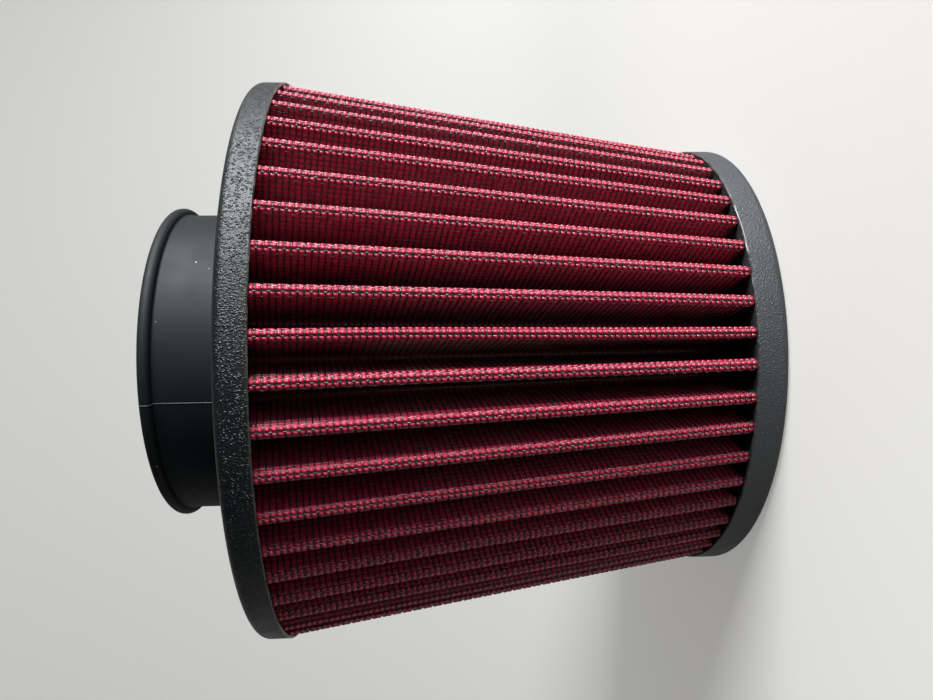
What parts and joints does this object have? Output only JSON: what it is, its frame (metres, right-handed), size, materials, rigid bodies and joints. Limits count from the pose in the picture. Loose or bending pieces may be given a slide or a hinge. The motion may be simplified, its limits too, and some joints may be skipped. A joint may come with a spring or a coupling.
{
  "type": "cone air filter",
  "caption": "Tapered clamp-on engine air filter: pleated red gauze under black wire screen between cast rubber end caps, with a beaded inlet neck.",
  "frame": {"origin": "middle of the end cap's rest face, where the filter's axis meets the surface it stands on", "axes": "+Z along the filter's axis from the closed end cap to the neck's mouth; the seam clip is on the +Y side"},
  "size_m": [0.1524, 0.1524, 0.1498],
  "materials": {
    "neck_rubber": "smooth satin moulded rubber",
    "cast_polyurethane": "satin cast polyurethane with a fine leather grain",
    "coated_wire_screen": "glossy black coated woven wire",
    "oiled_cotton_gauze": "red oiled cotton gauze",
    "crimped_aluminium": "mill finish, crimped"
  },
  "bodies": {
    "root": {"inlet_neck": "neck_rubber", "base_cap": "cast_polyurethane", "end_cap": "cast_polyurethane", "outer_screen": "coated_wire_screen", "filter_media": "oiled_cotton_gauze", "inner_screen": "coated_wire_screen", "seam_clip": "crimped_aluminium"}
  },
  "joints": []
}
